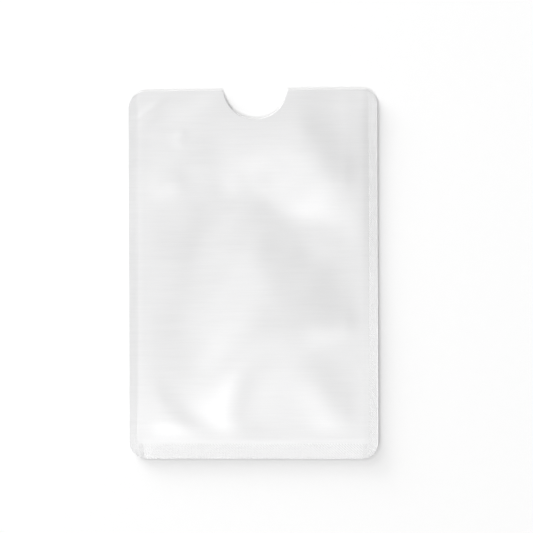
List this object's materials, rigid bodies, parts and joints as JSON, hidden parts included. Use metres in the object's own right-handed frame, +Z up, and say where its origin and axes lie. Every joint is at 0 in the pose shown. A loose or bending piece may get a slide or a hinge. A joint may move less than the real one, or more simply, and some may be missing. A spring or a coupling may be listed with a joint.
{
  "type": "card sleeve",
  "caption": "Flat shielding sleeve for one card: two laminated foil panels heat-sealed on both sides and the bottom, with a thumb notch at the open mouth.",
  "frame": {"origin": "middle of the sleeve's length and width, on the surface that the back panel lies on", "axes": "+X across the sleeve, to the right as seen from the front; +Y along it, out of the mouth; +Z up, out of the front panel"},
  "size_m": [0.0614, 0.091, 0.0031],
  "materials": {
    "outer_film": "satin, brushed across the width",
    "shield_foil": "mill foil",
    "inner_lining": "matt",
    "heat_seal": "fused lining"
  },
  "bodies": {
    "root": {"back_outer_film": "outer_film", "back_shield_foil": "shield_foil", "back_inner_lining": "inner_lining", "left_heat_seal": "heat_seal", "right_heat_seal": "heat_seal", "bottom_heat_seal": "heat_seal", "front_inner_lining": "inner_lining", "front_shield_foil": "shield_foil", "front_outer_film": "outer_film"}
  },
  "joints": []
}
